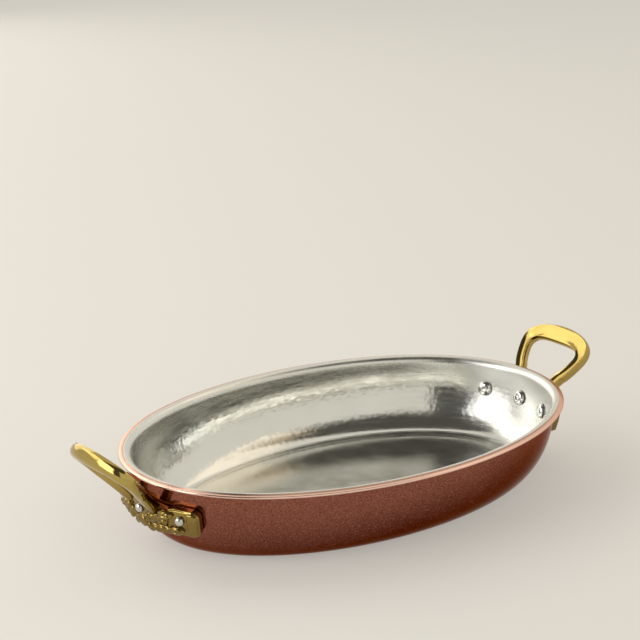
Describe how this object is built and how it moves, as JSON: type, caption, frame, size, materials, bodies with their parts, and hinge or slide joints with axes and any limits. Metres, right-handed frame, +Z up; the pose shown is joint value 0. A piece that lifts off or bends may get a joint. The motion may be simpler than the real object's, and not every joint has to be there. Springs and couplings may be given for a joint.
{
  "type": "oval roasting pan",
  "caption": "Open oval roasting pan in polished copper with a wiped tin lining, an everted lip and a riveted cast brass loop handle with a leafy sprig at each end.",
  "frame": {"origin": "centre of the pan's flat foot, on the plane that it stands on, with both handles centred over it", "axes": "+X along the pan towards handle_right, +Y across the pan away from someone who stands before its long side, +Z up from the foot to the open top"},
  "size_m": [0.4638, 0.252, 0.0892],
  "materials": {
    "polished_copper": "mirror polished copper sheet",
    "wiped_tin": "wiped tin, bright with faint ripples",
    "cast_brass": "polished cast brass",
    "tinned_steel": "tinned and hammered rivet heads"
  },
  "bodies": {
    "root": {"pan_body": "polished_copper", "tin_lining": "wiped_tin", "handle_left": "cast_brass", "handle_right": "cast_brass", "rivet_left_front": "tinned_steel", "rivet_left_middle": "tinned_steel", "rivet_left_back": "tinned_steel", "rivet_right_front": "tinned_steel", "rivet_right_middle": "tinned_steel", "rivet_right_back": "tinned_steel"}
  },
  "joints": []
}
